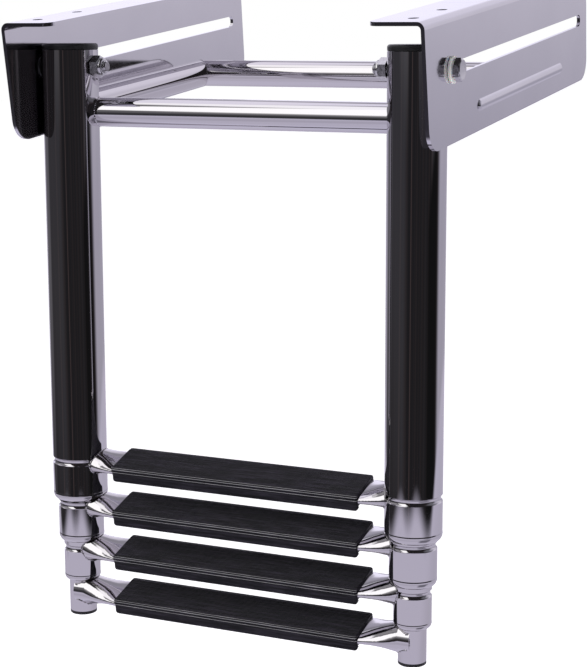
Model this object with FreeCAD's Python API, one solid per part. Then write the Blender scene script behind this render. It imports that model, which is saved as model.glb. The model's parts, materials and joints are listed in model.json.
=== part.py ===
import FreeCAD
import Part
import math
import os

# Under-platform telescoping boarding ladder.
# Row frame: X across the ladder, Y inboard (away from the climber), Z up, millimetres.
# Origin: centre of the mounting-hole pattern, on the plane of the two rail tops.
# The ladder itself is built in its own frame, with the pivot-bolt axis as its origin
# and its uprights along Z, and is then leaned and moved to the pivot.

# ---- driving dimensions -------------------------------------------------------------------

# Overall layout
UPRIGHT_SPACING = 253.0        # between the axes of the two uprights
LEAN = 6.0                     # degrees that the foot hangs outboard of plumb
PIVOT_Y = -130.0               # pivot-bolt axis, at the outboard end of the slots
PIVOT_Z = -34.1

# Telescoping tubes: outside diameters of stages 1 to 4, and their common wall
TUBE_OD = (38.1, 31.75, 25.4, 19.05)
TUBE_WALL = 1.2
TUBE_TOP_CHAMFER = 0.5
STROKE = 253.0                 # travel of each sliding stage
MAIN_TUBE_TOP = 11.7
GROOVE_Z = (-274.5, -306.4, -338.9)
GROOVE_WIDTH = 4.6
GROOVE_DEPTH = 1.2
SHOULDER_START_Z = (-297.0, -328.0, -358.5)
SHOULDER_END_Z = (-302.7, -333.5, -362.9)
LIP_GAP = 0.25                 # between a rolled shoulder and the tube that it closes on
LIP_LAND = 0.9
CLEARANCE = 0.4                # between a step bar's end and the shoulder above it
LAST_TUBE_END = -386.0
GUIDE_GAP = 0.1                # running fit of bushings and stop rings
GUIDE_MARGIN = 2.6             # groove centre to the end of a bushing
STOP_RING_HEIGHT = 10.0
STOP_END_GAP = 0.3

# Caps and feet
CAP_RIM = 3.8
CAP_ROUND = 1.8
CAP_PLUG = 5.5
FOOT_RIM = 2.4
FOOT_ROUND = 0.9
FOOT_PLUG = 14.0
PLUG_GAP = 0.05

# Crossbar and stand-off frame
BAR_OD = 20.0
CROSSBAR_Y = 8.5               # axis inboard of the uprights' axes
CROSSBAR_Z = -30.9
ARM_Z = -28.2                  # arm axis where it meets the upright axis
ARM_LENGTH = 193.3
ARM_RISE = 5.5                 # degrees above the perpendicular of the uprights

# Steps: a round tube pressed flat under the tread
STEP_BAR_OD = 22.2
STEP_Z = (-275.2, -306.9, -339.0, -371.0)
TREAD_TILT = 16.0              # degrees, back edge up
FLAT_HALF_WIDTH = 12.8
FLAT_HALF_THICKNESS = 2.2
FLAT_SQUARENESS = 3.0          # exponent of the flattened section; 2 is an ellipse
FLAT_HALF_LENGTH = 90.5
FLARE_LEAD = 2.5               # length over which the flare widens inside the tread's end
FLARE_HALF_WIDTH = 14.2        # its widest
STEP_ROUND_X = 119.5           # where the bar is fully round
STEP_BAR_END_X = 128.0
FLARE_RELIEF = 0.15            # gap between the flare and a tread's hollowed end

# Treads
TREAD_LENGTH = 185.0
TREAD_FRONT = -15.1
TREAD_BACK = 16.3
TREAD_TOP = 4.4
TREAD_LIP_BOTTOM = -6.7
TREAD_LIP_THICKNESS = 2.2
TREAD_BACK_BOTTOM = -3.6
TREAD_CAVITY_HALF_WIDTH = 13.0
TREAD_CAVITY_HALF_HEIGHT = 2.35
TREAD_OPENING_HALF_WIDTH = 8.5
TREAD_CORNER_R = 1.6
RIB_COUNT = 11
RIB_GROOVE_DEPTH = 0.45
RIB_GROOVE_WIDTH = 1.0
SCREW_X = 60.0
SCREW_R = 1.6
SCREW_HEAD_R = 3.4
SCREW_HEAD_H = 1.9
SCREW_HEAD_ROUND = 0.9
SCREW_BITE = 1.2

# Slide rails
RAIL_LENGTH = 351.0
RAIL_THICKNESS = 2.5
RAIL_OUTER_X = 149.05
RAIL_BEND_R = 5.0
FLANGE_INNER_X = 112.0
FLANGE_CORNER_R = 7.5
PLATE_BOTTOM = -46.0           # below the pivot axis
PLATE_CORNER_R = 16.0
FRONT_CUT_BACK = 4.0           # how far the foot of the slanted front edge lies behind its top
SLOT_HALF_WIDTH = 4.25
SLOT_TRAVEL = 284.0
BEAD_Z = -29.5
BEAD_FRONT = 47.5              # from the pivot, at rest
BEAD_BACK = 237.5
BEAD_HEIGHT = 1.8
BEAD_HALF_WIDTH = 4.0
MOUNT_X = 134.0
MOUNT_Y = (104.0, 154.0)
MOUNT_HOLE_R = 3.5

# Pivot hardware, M8
BOLT_R = 4.0
BOLT_TIP_X = 97.3
BOLT_TIP_CHAMFER = 0.7
HEX_ACROSS_FLATS = 13.0
HEAD_HEIGHT = 5.3
HEX_CHAMFER = 0.9
HEX_FACE_SHARE = 0.95          # of the width across flats, left flat inside the chamfer
PIVOT_HOLE_R = 4.08
WASHER_R = 8.5
WASHER_HOLE_R = 4.1
WASHER_THICKNESS = 2.0
WASHER_ROUND = 0.4
SPACER_THICKNESS = 0.75
STACK_GAP = 0.05
NUT_GAP = 0.1
NUT_HEX_HEIGHT = 5.8
NUT_COLLAR_HEIGHT = 2.2
NUT_COLLAR_R = 5.9
NUT_COLLAR_ROUND = 1.5
NUT_BORE_R = 4.0
INSERT_R = 5.0
INSERT_HEIGHT = 1.4
INSERT_SET_BACK = 0.6

# ---- derived dimensions -------------------------------------------------------------------

UPRIGHT_X = UPRIGHT_SPACING / 2
TUBE_R = tuple(od / 2 for od in TUBE_OD)
BAR_R = BAR_OD / 2
RAIL_INNER_X = RAIL_OUTER_X - RAIL_THICKNESS
GROOVE_INNER_HALF = (GROOVE_WIDTH + TUBE_WALL) / 2
STOP_RING_Z = tuple(z + GROOVE_INNER_HALF + STOP_END_GAP + STROKE for z in GROOVE_Z)
TUBE_TOP = (MAIN_TUBE_TOP,) + tuple(z + STOP_RING_HEIGHT for z in STOP_RING_Z)

COPE_REACH = 3 * BAR_OD
OVERCUT = 0.2                   # how far a trimming tool reaches past the piece that it trims

V = FreeCAD.Vector
BOW = math.sqrt(0.5)            # where the middle of a quarter round lies
ORIGIN = V(0, 0, 0)
X_AXIS = V(1, 0, 0)
Y_AXIS = V(0, 1, 0)
Z_AXIS = V(0, 0, 1)


# ---- helpers ------------------------------------------------------------------------------

def save(name, shape):
    """Write one node."""
    shape.exportStep("parts/" + name + ".step")


def on_ladder(shape):
    """Carry a shape from the ladder's own frame to the row frame."""
    placed = shape.copy()
    placed.rotate(ORIGIN, X_AXIS, -LEAN)
    placed.translate(V(0, PIVOT_Y, PIVOT_Z))
    return placed


def at_pivot(shape):
    """Carry a shape built about the pivot axis to the row frame, without the lean."""
    placed = shape.copy()
    placed.translate(V(0, PIVOT_Y, PIVOT_Z))
    return placed


def moved(shape, x=0.0, y=0.0, z=0.0):
    placed = shape.copy()
    placed.translate(V(x, y, z))
    return placed


def mirrored(shape):
    return shape.mirror(ORIGIN, X_AXIS)


def save_pair(name, right_shape, place):
    """Write the right-hand piece and its mirror image."""
    save("right_" + name, place(right_shape))
    save("left_" + name, place(mirrored(right_shape)))


def line(a, b):
    return Part.LineSegment(a, b).toShape()


def arc(a, b, c):
    return Part.Arc(a, b, c).toShape()


def revolved(edges):
    """Turn a closed outline of the XZ plane about Z."""
    return Part.Face(Part.Wire(edges)).revolve(ORIGIN, Z_AXIS, 360)


def same_level(edge, z):
    """Whether both ends of an edge lie at height z."""
    return all(abs(v.Z - z) < 1e-6 for v in edge.Vertexes)


def round_rims(shape, radius, level):
    """Round the full circles of a turned piece that lie at one height."""
    rims = [e for e in shape.Edges if len(e.Vertexes) == 1 and abs(e.CenterOfMass.z - level) < 1e-6]
    return shape.makeFillet(radius, rims)


def ring(inner_r, outer_r, bottom, height):
    outer = Part.makeCylinder(outer_r, height, V(0, 0, bottom))
    return outer.cut(Part.makeCylinder(inner_r, height, V(0, 0, bottom)))


def tube_along(direction, start, length, radius):
    outer = Part.makeCylinder(radius, length, start, direction)
    return outer.cut(Part.makeCylinder(radius - TUBE_WALL, length, start, direction))


def coped(bar, stage, z):
    """Cut a bar's ends to the round of both uprights."""
    for x in (-UPRIGHT_X, UPRIGHT_X):
        core = Part.makeCylinder(TUBE_R[stage], 2 * COPE_REACH, V(x, 0, z - COPE_REACH))
        bar = bar.cut(core)
    return bar


def to_x(shape):
    """Turn a shape built along Z so that it points along X."""
    placed = shape.copy()
    placed.rotate(ORIGIN, Y_AXIS, 90)
    return placed


# ---- telescoping tubes --------------------------------------------------------------------

def grooved_tube(stage):
    """An upright with a rolled groove and a shoulder that closes on the next stage."""
    r_out = TUBE_R[stage]
    r_in = r_out - TUBE_WALL
    r_lip = TUBE_R[stage + 1] + LIP_GAP
    top = TUBE_TOP[stage]
    groove = GROOVE_Z[stage]
    half = GROOVE_WIDTH / 2
    start = SHOULDER_START_Z[stage]
    end = SHOULDER_END_Z[stage]
    drop = start - end
    out_run = r_out - r_lip - LIP_LAND
    in_run = r_in - r_lip
    in_drop = drop - TUBE_WALL
    edges = [
        line(V(r_out - TUBE_TOP_CHAMFER, 0, top), V(r_out, 0, top - TUBE_TOP_CHAMFER)),
        line(V(r_out, 0, top - TUBE_TOP_CHAMFER), V(r_out, 0, groove + half)),
        arc(V(r_out, 0, groove + half), V(r_out - GROOVE_DEPTH, 0, groove), V(r_out, 0, groove - half)),
        line(V(r_out, 0, groove - half), V(r_out, 0, start)),
        arc(V(r_out, 0, start),
            V(r_lip + LIP_LAND + out_run * BOW, 0, start - drop * BOW),
            V(r_lip + LIP_LAND, 0, end)),
        line(V(r_lip + LIP_LAND, 0, end), V(r_lip, 0, end)),
        line(V(r_lip, 0, end), V(r_lip, 0, end + TUBE_WALL)),
        arc(V(r_lip, 0, end + TUBE_WALL),
            V(r_lip + in_run * BOW, 0, start - in_drop * BOW),
            V(r_in, 0, start)),
        line(V(r_in, 0, start), V(r_in, 0, groove - GROOVE_INNER_HALF)),
        arc(V(r_in, 0, groove - GROOVE_INNER_HALF),
            V(r_in - GROOVE_DEPTH, 0, groove),
            V(r_in, 0, groove + GROOVE_INNER_HALF)),
        line(V(r_in, 0, groove + GROOVE_INNER_HALF), V(r_in, 0, top)),
        line(V(r_in, 0, top), V(r_out - TUBE_TOP_CHAMFER, 0, top)),
    ]
    return revolved(edges)


def shoulder_clearance(stage):
    """The space that a tube's end and rolled shoulder take up, with room round them."""
    r_out = TUBE_R[stage] + CLEARANCE
    r_lip = TUBE_R[stage + 1] + LIP_GAP + LIP_LAND + CLEARANCE
    start = SHOULDER_START_Z[stage]
    end = SHOULDER_END_Z[stage] - CLEARANCE
    top = start + COPE_REACH
    edges = [
        line(V(0, 0, top), V(r_out, 0, top)),
        line(V(r_out, 0, top), V(r_out, 0, start)),
        arc(V(r_out, 0, start),
            V(r_lip + (r_out - r_lip) * BOW, 0, start - (start - end) * BOW),
            V(r_lip, 0, end)),
        line(V(r_lip, 0, end), V(0, 0, end)),
        line(V(0, 0, end), V(0, 0, top)),
    ]
    return revolved(edges)


def main_tube():
    """Stage 1: the fixed outer tube, drilled across for the pivot bolt."""
    hole = Part.makeCylinder(PIVOT_HOLE_R, TUBE_OD[0] * 2, V(-TUBE_OD[0], 0, 0), X_AXIS)
    return grooved_tube(0).cut(hole)


def last_tube():
    r_out = TUBE_R[3]
    return ring(r_out - TUBE_WALL, r_out, LAST_TUBE_END, TUBE_TOP[3] - LAST_TUBE_END)


def guide_bushing(stage):
    """The sleeve held between the groove and the shoulder, in which the next stage slides."""
    top = GROOVE_Z[stage] - GUIDE_MARGIN - TUBE_WALL / 2
    bottom = SHOULDER_START_Z[stage]
    inner_r = TUBE_R[stage + 1] + GUIDE_GAP
    outer_r = TUBE_R[stage] - TUBE_WALL - PLUG_GAP
    return ring(inner_r, outer_r, bottom, top - bottom)


def stop_ring(stage):
    """The ring round a sliding tube's top end, which the groove above its guide catches."""
    outer_r = TUBE_R[stage - 1] - TUBE_WALL - GUIDE_GAP
    return ring(TUBE_R[stage], outer_r, STOP_RING_Z[stage - 1], STOP_RING_HEIGHT)


# ---- caps and feet ------------------------------------------------------------------------

def rounded_plug(rim_r, rim_height, rounding, plug_r, plug_length, opening_up):
    """A disc that closes a tube, with one rounded rim and a plug that goes inside."""
    disc = Part.makeCylinder(rim_r, rim_height)
    disc = round_rims(disc, rounding, rim_height if opening_up else 0.0)
    plug_base = -plug_length if opening_up else rim_height
    return disc.fuse(Part.makeCylinder(plug_r, plug_length, V(0, 0, plug_base))).removeSplitter()


def top_cap():
    plug_r = TUBE_R[0] - TUBE_WALL - PLUG_GAP
    cap = rounded_plug(TUBE_R[0], CAP_RIM, CAP_ROUND, plug_r, CAP_PLUG, True)
    return moved(cap, z=MAIN_TUBE_TOP)


def foot_cap():
    plug_r = TUBE_R[3] - TUBE_WALL - PLUG_GAP
    foot = rounded_plug(TUBE_R[3], FOOT_RIM, FOOT_ROUND, plug_r, FOOT_PLUG, False)
    return moved(foot, z=LAST_TUBE_END - FOOT_RIM)


# ---- crossbar and stand-off frame ---------------------------------------------------------

def front_crossbar():
    """A tube across the uprights, coped to them and to the arms behind them."""
    bar = tube_along(X_AXIS, V(-UPRIGHT_X, CROSSBAR_Y, CROSSBAR_Z), UPRIGHT_SPACING, BAR_R)
    for x in (-UPRIGHT_X, UPRIGHT_X):
        bar = bar.cut(raised(Part.makeCylinder(BAR_R, ARM_LENGTH, V(x, 0, 0), Y_AXIS)))
    return coped(bar, 0, CROSSBAR_Z)


def mitre_block(side, keep_arm):
    """The half of space beyond a corner's 45-degree mitre, as a large box."""
    size = 8 * BAR_OD
    block = Part.makeBox(size, size, size, V(0, -size / 2, -size / 2))
    turn = 135.0 if keep_arm else -45.0
    block.rotate(ORIGIN, Z_AXIS, turn)
    block.translate(V(UPRIGHT_X, ARM_LENGTH, 0))
    return block if side > 0 else mirrored(block)


def raised(shape):
    """Tilt a stand-off piece to the arms' rise and bring it to their height."""
    placed = shape.copy()
    placed.rotate(ORIGIN, X_AXIS, ARM_RISE)
    placed.translate(V(0, 0, ARM_Z))
    return placed


def standoff_arm():
    arm = tube_along(Y_AXIS, V(UPRIGHT_X, 0, 0), ARM_LENGTH + BAR_OD, BAR_R)
    arm = arm.cut(mitre_block(1, True))
    return coped(raised(arm), 0, ARM_Z)


def standoff_back_bar():
    reach = UPRIGHT_X + BAR_OD
    bar = tube_along(X_AXIS, V(-reach, ARM_LENGTH, 0), 2 * reach, BAR_R)
    for side in (-1, 1):
        bar = bar.cut(mitre_block(side, False))
    return raised(bar)


# ---- steps --------------------------------------------------------------------------------

def oval(x, half_width, half_thickness, squareness):
    """A closed oval section at x; squareness 2 gives an ellipse, more gives a flatter oval."""
    count = 24
    points = []
    for k in range(count):
        turn = 2 * math.pi * k / count
        c, s = math.cos(turn), math.sin(turn)
        y = half_width * math.copysign(abs(c) ** (2 / squareness), c)
        z = half_thickness * math.copysign(abs(s) ** (2 / squareness), s)
        points.append(V(x, y, z))
    curve = Part.BSplineCurve()
    curve.interpolate(points, PeriodicFlag=True)
    return Part.Wire(curve.toShape())


def flare(shrink):
    """The straight-sided change from flat middle to round end; shrink is an inward offset."""
    round_r = STEP_BAR_OD / 2
    lead_share = FLARE_LEAD / (STEP_ROUND_X - FLAT_HALF_LENGTH)
    lead_thickness = FLAT_HALF_THICKNESS + (round_r - FLAT_HALF_THICKNESS) * lead_share
    lead_x = FLAT_HALF_LENGTH + FLARE_LEAD
    sections = [
        oval(FLAT_HALF_LENGTH, FLAT_HALF_WIDTH - shrink, FLAT_HALF_THICKNESS - shrink, FLAT_SQUARENESS),
        oval(lead_x, FLARE_HALF_WIDTH - shrink, lead_thickness - shrink, FLAT_SQUARENESS),
        oval(STEP_ROUND_X, round_r - shrink, round_r - shrink, 2),
    ]
    opening = Part.makeLoft(sections, True, True)
    end = Part.Face(oval(STEP_ROUND_X, round_r - shrink, round_r - shrink, 2))
    return opening.fuse(end.extrude(V(STEP_BAR_END_X - STEP_ROUND_X, 0, 0)))


def pressed_bar(shrink):
    """Flattened middle, two flares and round ends, as one solid envelope."""
    flat = oval(-FLAT_HALF_LENGTH, FLAT_HALF_WIDTH - shrink, FLAT_HALF_THICKNESS - shrink, FLAT_SQUARENESS)
    middle = Part.Face(flat).extrude(V(2 * FLAT_HALF_LENGTH, 0, 0))
    right = flare(shrink)
    return middle.fuse([right, mirrored(right)])


def tilted(shape, stage):
    """Tilt a step piece about its bar's axis and bring it to its own height."""
    placed = shape.copy()
    placed.rotate(ORIGIN, X_AXIS, TREAD_TILT)
    placed.translate(V(0, 0, STEP_Z[stage]))
    return placed


def step_bar(stage):
    """A tube across both uprights, flat under the tread, coped and cut clear of the tube above."""
    bar = pressed_bar(0.0).cut(pressed_bar(TUBE_WALL))
    for x in (-SCREW_X, SCREW_X):
        hole = Part.makeCylinder(SCREW_R, 4 * FLAT_HALF_THICKNESS, V(x, 0, -2 * FLAT_HALF_THICKNESS))
        bar = bar.cut(hole)
    bar = coped(tilted(bar, stage), stage, STEP_Z[stage])
    if stage > 0:
        for x in (-UPRIGHT_X, UPRIGHT_X):
            bar = bar.cut(moved(shoulder_clearance(stage - 1), x=x))
    return bar


def tread_outline():
    """Cross-section of a tread: a cap over the flattened bar, with a deep front lip."""
    points = [
        (TREAD_FRONT, TREAD_LIP_BOTTOM),
        (TREAD_FRONT, TREAD_TOP),
        (TREAD_BACK, TREAD_TOP),
        (TREAD_BACK, TREAD_BACK_BOTTOM),
        (TREAD_OPENING_HALF_WIDTH, TREAD_BACK_BOTTOM),
        (TREAD_OPENING_HALF_WIDTH, -TREAD_CAVITY_HALF_HEIGHT),
        (TREAD_CAVITY_HALF_WIDTH, -TREAD_CAVITY_HALF_HEIGHT),
        (TREAD_CAVITY_HALF_WIDTH, TREAD_CAVITY_HALF_HEIGHT),
        (-TREAD_CAVITY_HALF_WIDTH, TREAD_CAVITY_HALF_HEIGHT),
        (-TREAD_CAVITY_HALF_WIDTH, -TREAD_CAVITY_HALF_HEIGHT),
        (-TREAD_OPENING_HALF_WIDTH, -TREAD_CAVITY_HALF_HEIGHT),
        (-TREAD_OPENING_HALF_WIDTH, TREAD_BACK_BOTTOM),
        (TREAD_FRONT + TREAD_LIP_THICKNESS, TREAD_BACK_BOTTOM),
        (TREAD_FRONT + TREAD_LIP_THICKNESS, TREAD_LIP_BOTTOM),
    ]
    corners = [V(-TREAD_LENGTH / 2, y, z) for y, z in points]
    return Part.Face(Part.makePolygon(corners + corners[:1]))


def tread(stage):
    body = tread_outline().extrude(V(TREAD_LENGTH, 0, 0))
    width = TREAD_BACK - TREAD_FRONT
    plan = Part.makeBox(TREAD_LENGTH, width, 2 * width, V(-TREAD_LENGTH / 2, TREAD_FRONT, -width))
    uprights = [e for e in plan.Edges if abs(e.Vertexes[0].Z - e.Vertexes[1].Z) > 1.0]
    body = body.common(plan.makeFillet(TREAD_CORNER_R, uprights))
    pitch = width / (RIB_COUNT + 1)
    for k in range(1, RIB_COUNT + 1):
        y = TREAD_FRONT + k * pitch - RIB_GROOVE_WIDTH / 2
        groove = Part.makeBox(TREAD_LENGTH, RIB_GROOVE_WIDTH, RIB_GROOVE_DEPTH,
                              V(-TREAD_LENGTH / 2, y, TREAD_TOP - RIB_GROOVE_DEPTH))
        body = body.cut(groove)
    for x in (-SCREW_X, SCREW_X):
        pilot = Part.makeCylinder(SCREW_R, SCREW_BITE, V(x, 0, TREAD_CAVITY_HALF_HEIGHT))
        body = body.cut(pilot)
    room = flare(-FLARE_RELIEF)
    body = body.cut(room).cut(mirrored(room))
    return tilted(body, stage)


def tread_screws(stage):
    """Two pan-head screws from below, through the flattened bar into the tread."""
    screws = []
    for x in (-SCREW_X, SCREW_X):
        top = TREAD_CAVITY_HALF_HEIGHT + SCREW_BITE - PLUG_GAP
        head_bottom = -FLAT_HALF_THICKNESS - SCREW_HEAD_H
        head = Part.makeCylinder(SCREW_HEAD_R, SCREW_HEAD_H, V(x, 0, head_bottom))
        head = round_rims(head, SCREW_HEAD_ROUND, head_bottom)
        length = top + FLAT_HALF_THICKNESS
        shank = Part.makeCylinder(SCREW_R - PLUG_GAP, length, V(x, 0, -FLAT_HALF_THICKNESS))
        screws.append(head.fuse(shank))
    return tilted(Part.makeCompound(screws), stage)


# ---- slide rails --------------------------------------------------------------------------

def rail_section(y):
    """L-shaped section of a rail, its top on z = 0."""
    bottom = PIVOT_Z + PLATE_BOTTOM
    inner_r = RAIL_BEND_R - RAIL_THICKNESS
    cx = RAIL_OUTER_X - RAIL_BEND_R
    cz = -RAIL_BEND_R
    t = RAIL_THICKNESS
    edges = [
        line(V(FLANGE_INNER_X, y, 0), V(cx, y, 0)),
        arc(V(cx, y, 0), V(cx + RAIL_BEND_R * BOW, y, cz + RAIL_BEND_R * BOW), V(RAIL_OUTER_X, y, cz)),
        line(V(RAIL_OUTER_X, y, cz), V(RAIL_OUTER_X, y, bottom)),
        line(V(RAIL_OUTER_X, y, bottom), V(RAIL_INNER_X, y, bottom)),
        line(V(RAIL_INNER_X, y, bottom), V(RAIL_INNER_X, y, cz)),
        arc(V(RAIL_INNER_X, y, cz), V(cx + inner_r * BOW, y, cz + inner_r * BOW), V(cx, y, -t)),
        line(V(cx, y, -t), V(FLANGE_INNER_X, y, -t)),
        line(V(FLANGE_INNER_X, y, -t), V(FLANGE_INNER_X, y, 0)),
    ]
    return Part.Face(Part.Wire(edges))


def rail_side_envelope():
    """Side view of a rail as a thick block: slanted front edge and two rounded lower corners."""
    x = FLANGE_INNER_X - OVERCUT
    front = -RAIL_LENGTH / 2
    rear = RAIL_LENGTH / 2
    bottom = PIVOT_Z + PLATE_BOTTOM
    corners = [
        V(x, front, OVERCUT),
        V(x, front, -RAIL_BEND_R),
        V(x, front + FRONT_CUT_BACK, bottom),
        V(x, rear, bottom),
        V(x, rear, OVERCUT),
    ]
    face = Part.Face(Part.makePolygon(corners + corners[:1]))
    block = face.extrude(V(RAIL_OUTER_X + OVERCUT - x, 0, 0))
    lower = [e for e in block.Edges if same_level(e, bottom) and abs(e.tangentAt(e.FirstParameter).x) > 0.9]
    return block.makeFillet(PLATE_CORNER_R, lower)


def capsule(radius, x, z, y_start, y_end):
    """A round bar along Y with ball ends."""
    body = Part.makeCylinder(radius, y_end - y_start, V(x, y_start, z), Y_AXIS)
    balls = [Part.makeSphere(radius, V(x, y, z)) for y in (y_start, y_end)]
    return body.fuse(balls).removeSplitter()


def with_bead(rail):
    """Press a long stiffening bead outwards, with the plate's thickness kept."""
    outer_r = (BEAD_HALF_WIDTH ** 2 + BEAD_HEIGHT ** 2) / (2 * BEAD_HEIGHT)
    axis_x = RAIL_OUTER_X + BEAD_HEIGHT - outer_r
    z = PIVOT_Z + BEAD_Z
    start = PIVOT_Y + BEAD_FRONT + BEAD_HALF_WIDTH
    end = PIVOT_Y + BEAD_BACK - BEAD_HALF_WIDTH
    near_face = Part.makeBox(BEAD_HEIGHT + RAIL_THICKNESS, RAIL_LENGTH, 4 * BEAD_HALF_WIDTH,
                             V(RAIL_OUTER_X - RAIL_THICKNESS / 2, -RAIL_LENGTH / 2, z - 2 * BEAD_HALF_WIDTH))
    ridge = capsule(outer_r, axis_x, z, start, end).common(near_face)
    recess = capsule(outer_r - RAIL_THICKNESS, axis_x, z, start, end)
    return rail.fuse(ridge).cut(recess).removeSplitter()


def slot_cutter():
    x = RAIL_INNER_X - OVERCUT
    depth = RAIL_THICKNESS + 2 * OVERCUT
    box = Part.makeBox(depth, SLOT_TRAVEL, 2 * SLOT_HALF_WIDTH, V(x, PIVOT_Y, PIVOT_Z - SLOT_HALF_WIDTH))
    ends = [Part.makeCylinder(SLOT_HALF_WIDTH, depth, V(x, y, PIVOT_Z), X_AXIS)
            for y in (PIVOT_Y, PIVOT_Y + SLOT_TRAVEL)]
    return box.fuse(ends)


def slide_rail():
    rail = rail_section(-RAIL_LENGTH / 2).extrude(V(0, RAIL_LENGTH, 0))
    rail = rail.common(rail_side_envelope())
    corners = [e for e in rail.Edges
               if len(e.Vertexes) == 2
               and all(abs(v.X - FLANGE_INNER_X) < 1e-6 for v in e.Vertexes)
               and abs(e.Vertexes[0].Z - e.Vertexes[1].Z) > 1.0]
    rail = rail.makeFillet(FLANGE_CORNER_R, corners)
    rail = with_bead(rail).cut(slot_cutter())
    for distance in MOUNT_Y:
        for y in (-distance, distance):
            rail = rail.cut(Part.makeCylinder(MOUNT_HOLE_R, 2 * RAIL_BEND_R, V(MOUNT_X, y, -RAIL_BEND_R)))
    return rail


# ---- pivot hardware -----------------------------------------------------------------------

def hexagon(height, chamfer_top):
    """A hexagonal prism along Z, with the corners of one end turned down."""
    corner_r = HEX_ACROSS_FLATS / math.sqrt(3)
    points = [V(corner_r * math.cos(math.radians(60 * k)), corner_r * math.sin(math.radians(60 * k)), 0)
              for k in range(7)]
    prism = Part.Face(Part.makePolygon(points)).extrude(V(0, 0, height))
    small_r = HEX_ACROSS_FLATS / 2 * HEX_FACE_SHARE
    big_r = corner_r + OVERCUT
    straight = height - HEX_CHAMFER
    cone = Part.makeCone(big_r, small_r, HEX_CHAMFER, V(0, 0, straight))
    turned = Part.makeCylinder(big_r, straight).fuse(cone)
    if not chamfer_top:
        turned.rotate(V(0, 0, height / 2), X_AXIS, 180)
    return prism.common(turned)


def outer_washer_x():
    return RAIL_OUTER_X + STACK_GAP


def head_x():
    return outer_washer_x() + WASHER_THICKNESS + STACK_GAP


def pivot_bolt():
    """Hex bolt along X, its head outside the rail and its threaded end between the uprights."""
    head = moved(hexagon(HEAD_HEIGHT, True), z=head_x())
    length = head_x() - BOLT_TIP_X
    shank = Part.makeCylinder(BOLT_R, length, V(0, 0, BOLT_TIP_X))
    tip = [e for e in shank.Edges if len(e.Vertexes) == 1 and abs(e.CenterOfMass.z - BOLT_TIP_X) < 1e-6]
    shank = shank.makeChamfer(BOLT_TIP_CHAMFER, tip)
    return to_x(head.fuse(shank))


def outer_washer():
    x = outer_washer_x()
    disc = Part.makeCylinder(WASHER_R, WASHER_THICKNESS, V(0, 0, x))
    for level in (x, x + WASHER_THICKNESS):
        disc = round_rims(disc, WASHER_ROUND, level)
    return to_x(disc.cut(Part.makeCylinder(WASHER_HOLE_R, WASHER_THICKNESS, V(0, 0, x))))


def inner_spacer():
    top = RAIL_INNER_X - STACK_GAP
    return to_x(ring(WASHER_HOLE_R, WASHER_R, top - SPACER_THICKNESS, SPACER_THICKNESS))


def nut_face_x():
    return UPRIGHT_X - TUBE_R[0] - NUT_GAP


def insert_top_x():
    return nut_face_x() - NUT_HEX_HEIGHT - NUT_COLLAR_HEIGHT + INSERT_SET_BACK + INSERT_HEIGHT


def lock_nut():
    """Hex nut with a collar that is rolled over a plastic locking ring."""
    face = nut_face_x()
    hexed = moved(hexagon(NUT_HEX_HEIGHT, False), z=face - NUT_HEX_HEIGHT)
    collar_z = face - NUT_HEX_HEIGHT - NUT_COLLAR_HEIGHT
    collar = Part.makeCylinder(NUT_COLLAR_R, NUT_COLLAR_HEIGHT, V(0, 0, collar_z))
    collar = round_rims(collar, NUT_COLLAR_ROUND, collar_z)
    bore = Part.makeCylinder(NUT_BORE_R + PLUG_GAP, face - collar_z, V(0, 0, collar_z))
    recess = Part.makeCylinder(INSERT_R, INSERT_HEIGHT, V(0, 0, insert_top_x() - INSERT_HEIGHT))
    return to_x(hexed.fuse(collar).cut(bore).cut(recess))


def nut_insert():
    return to_x(ring(NUT_BORE_R + PLUG_GAP, INSERT_R, insert_top_x() - INSERT_HEIGHT, INSERT_HEIGHT))


# ---- assembly -----------------------------------------------------------------------------

def upright(piece):
    """Place a piece turned about Z on the right-hand upright."""
    return moved(piece, x=UPRIGHT_X)


def build():
    os.makedirs("parts", exist_ok=True)

    save_pair("rail", slide_rail(), moved)

    save_pair("pivot_bolt", pivot_bolt(), at_pivot)
    save_pair("outer_washer", outer_washer(), at_pivot)
    save_pair("inner_spacer", inner_spacer(), at_pivot)
    save_pair("lock_nut", lock_nut(), at_pivot)
    save_pair("nut_insert", nut_insert(), at_pivot)

    save_pair("tube_1", upright(main_tube()), on_ladder)
    save_pair("top_cap", upright(top_cap()), on_ladder)
    save("front_crossbar", on_ladder(front_crossbar()))
    save_pair("standoff_arm", standoff_arm(), on_ladder)
    save("standoff_back_bar", on_ladder(standoff_back_bar()))

    for stage in (1, 2):
        save_pair("tube_" + str(stage + 1), upright(grooved_tube(stage)), on_ladder)
    save_pair("tube_4", upright(last_tube()), on_ladder)
    save_pair("foot_cap", upright(foot_cap()), on_ladder)

    for stage in (0, 1, 2):
        save_pair("guide_bushing_" + str(stage + 1), upright(guide_bushing(stage)), on_ladder)
    for stage in (1, 2, 3):
        save_pair("stop_ring_" + str(stage + 1), upright(stop_ring(stage)), on_ladder)

    for stage in (0, 1, 2, 3):
        number = str(stage + 1)
        save("step_bar_" + number, on_ladder(step_bar(stage)))
        save("tread_" + number, on_ladder(tread(stage)))
        save("tread_screws_" + number, on_ladder(tread_screws(stage)))


build()
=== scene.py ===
import json
import math

import bpy
from mathutils import Matrix, Vector


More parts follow.
